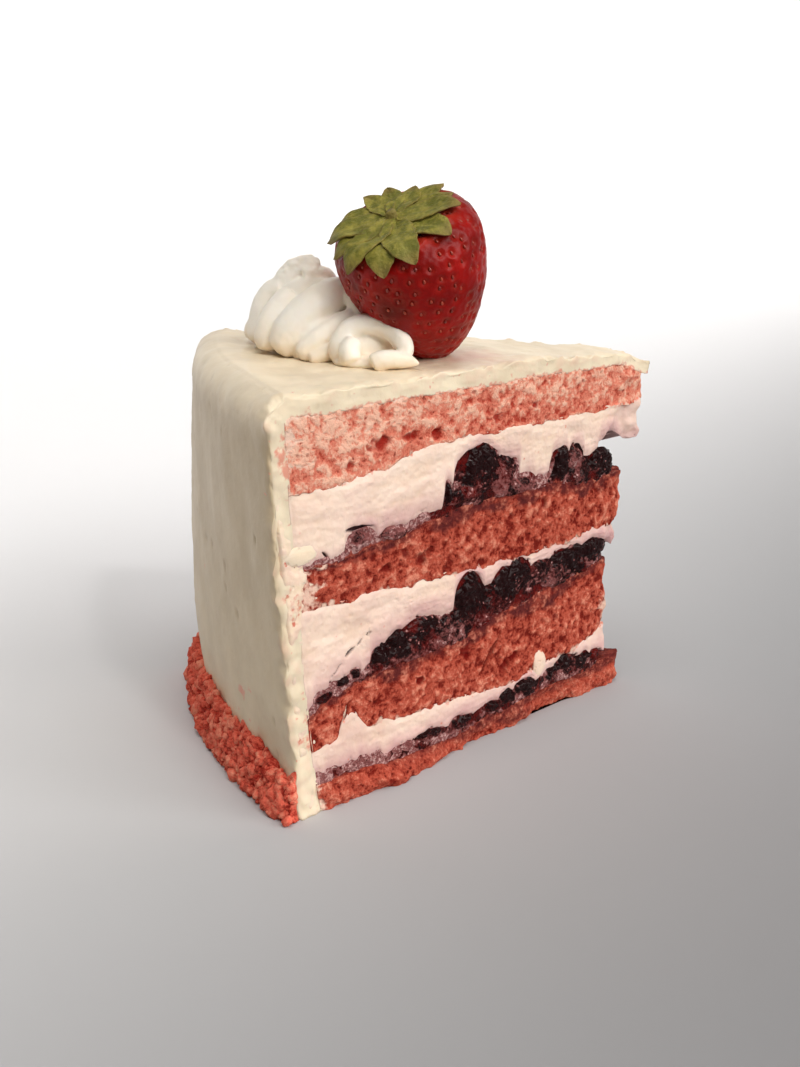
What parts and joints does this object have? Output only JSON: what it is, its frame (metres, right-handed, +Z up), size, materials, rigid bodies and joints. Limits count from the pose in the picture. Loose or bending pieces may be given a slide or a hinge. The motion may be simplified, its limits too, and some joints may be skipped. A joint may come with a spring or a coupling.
{
  "type": "red velvet cake slice",
  "caption": "Wedge of red velvet layer cake with cream and dark berry compote, ivory icing, a crumbed foot, a piped cream swirl and a strawberry on top.",
  "frame": {"origin": "middle of the slice's footprint, on the plane it stands on", "axes": "+X towards the slice's point, -X towards the iced rim of the whole cake, -Y the cut that the picture shows, +Z up"},
  "size_m": [0.1178, 0.0904, 0.1308],
  "materials": {
    "sponge": "open moist crumb, matt",
    "cream": "soft cream, faintly stained by berries",
    "compote": "dark glossy berries in syrup",
    "icing": "smoothed ivory icing, satin",
    "crumbs": "loose cake crumbs, matt",
    "fruit": "ripe strawberry skin, moist",
    "leaf": "soft leaf, a little dry at the edges",
    "whipped_cream": "piped whipped cream, satin"
  },
  "bodies": {
    "root": {"sponge_top": "sponge", "cream_upper": "cream", "jam_upper": "compote", "sponge_upper": "sponge", "cream_middle": "cream", "jam_middle": "compote", "sponge_lower": "sponge", "cream_lower": "cream", "jam_lower": "compote", "sponge_base": "sponge", "icing": "icing", "crumb_band": "crumbs", "strawberry": "fruit", "calyx": "leaf", "cream_swirl": "whipped_cream"}
  },
  "joints": []
}
